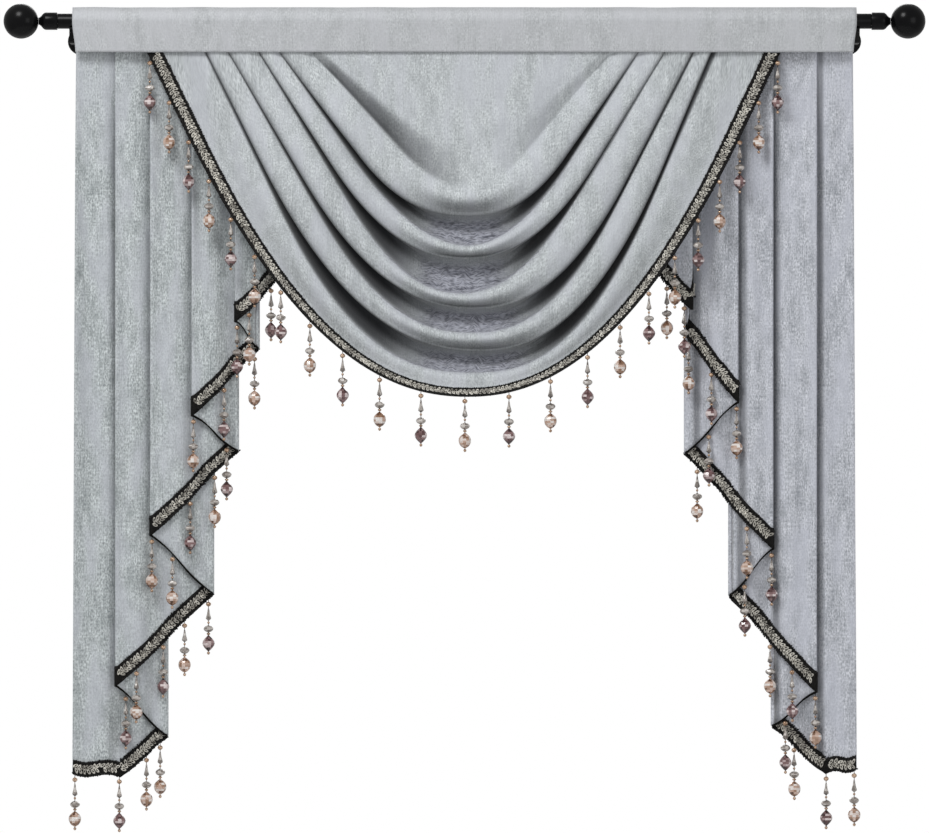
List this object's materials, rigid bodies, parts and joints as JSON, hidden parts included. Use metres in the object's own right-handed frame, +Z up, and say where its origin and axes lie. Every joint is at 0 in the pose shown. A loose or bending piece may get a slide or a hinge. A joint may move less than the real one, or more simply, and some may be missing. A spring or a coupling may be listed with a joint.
{
  "type": "swag valance on a curtain rod",
  "caption": "Draped swag between pleated cascading tails, sewn in one rod pocket, with braid and bead drops, on its curtain rod.",
  "frame": {"origin": "centre of the wall face of the left bracket's plate", "axes": "+X along the rod to the viewer's right, +Y into the wall, +Z up"},
  "size_m": [1.1752, 0.146, 1.0585],
  "materials": {
    "black_metal": "satin black",
    "chenille": "soft chenille with a slight sheen",
    "braid": "woven braid with metallic thread",
    "amber_bead": "faceted clear acrylic",
    "plum_bead": "faceted clear acrylic",
    "smoke_bead": "clear acrylic",
    "gold_bead": "plated bead"
  },
  "bodies": {
    "root": {"rod": "black_metal", "ball_finial_left": "black_metal", "ball_finial_right": "black_metal", "end_cap_left": "black_metal", "end_cap_right": "black_metal", "bracket_left": "black_metal", "bracket_right": "black_metal", "rod_pocket": "chenille", "swag": "chenille", "tail_left": "chenille", "tail_right": "chenille", "swag_trim": "braid", "tail_left_trim": "braid", "tail_right_trim": "braid"}
  },
  "joints": []
}
